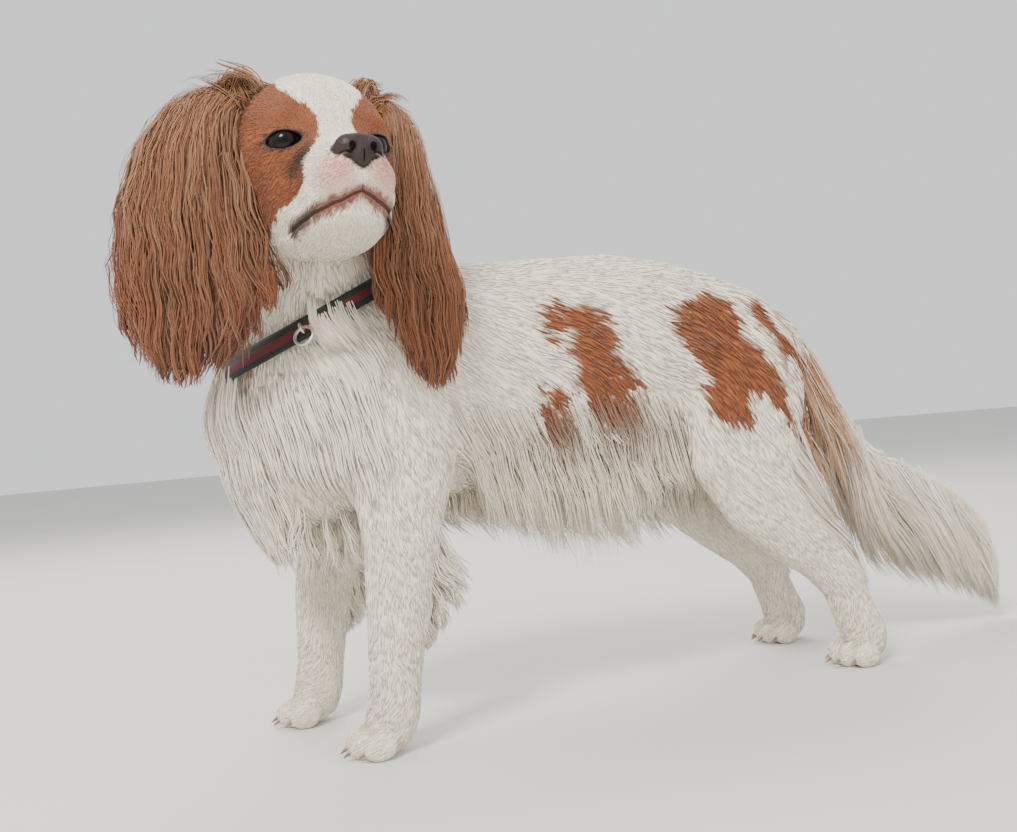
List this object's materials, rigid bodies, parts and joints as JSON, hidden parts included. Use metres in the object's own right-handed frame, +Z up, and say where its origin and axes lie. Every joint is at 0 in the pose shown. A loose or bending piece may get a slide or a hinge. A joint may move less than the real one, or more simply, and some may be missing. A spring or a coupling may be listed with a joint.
{
  "type": "cavalier king charles spaniel, standing still model",
  "caption": "Life-size still model of a standing cavalier king charles spaniel with long ears, feathered legs, plumed tail and a collar.",
  "frame": {"origin": "on the floor, under the middle of the dog's box", "axes": "+Z up; the dog's body faces -Y and its left side is +X; its head is turned to its left, towards +X"},
  "size_m": [0.2464, 0.7136, 0.4371],
  "materials": {
    "coat_white": "silky white dog hair, warm in the shade, with chestnut patches",
    "coat_head": "short silky hair, chestnut with a white blaze and muzzle",
    "coat_chestnut": "long wavy chestnut hair with paler tips",
    "eye": "wet, very dark brown",
    "nose_leather": "fine pebbled dark brown skin, slightly moist",
    "claw": "horn, greyish brown",
    "collar_webbing": "dark red webbing with near-black edges",
    "ring_metal": "polished, slightly warm"
  },
  "bodies": {
    "root": {"head": "coat_head", "neck": "coat_white", "torso": "coat_white", "tail": "coat_white", "leg_front_left": "coat_white", "leg_front_right": "coat_white", "leg_hind_left": "coat_white", "leg_hind_right": "coat_white", "ear_left": "coat_chestnut", "ear_right": "coat_chestnut", "eye_left": "eye", "eye_right": "eye", "nose": "nose_leather", "collar": "collar_webbing", "collar_ring": "ring_metal"}
  },
  "joints": []
}
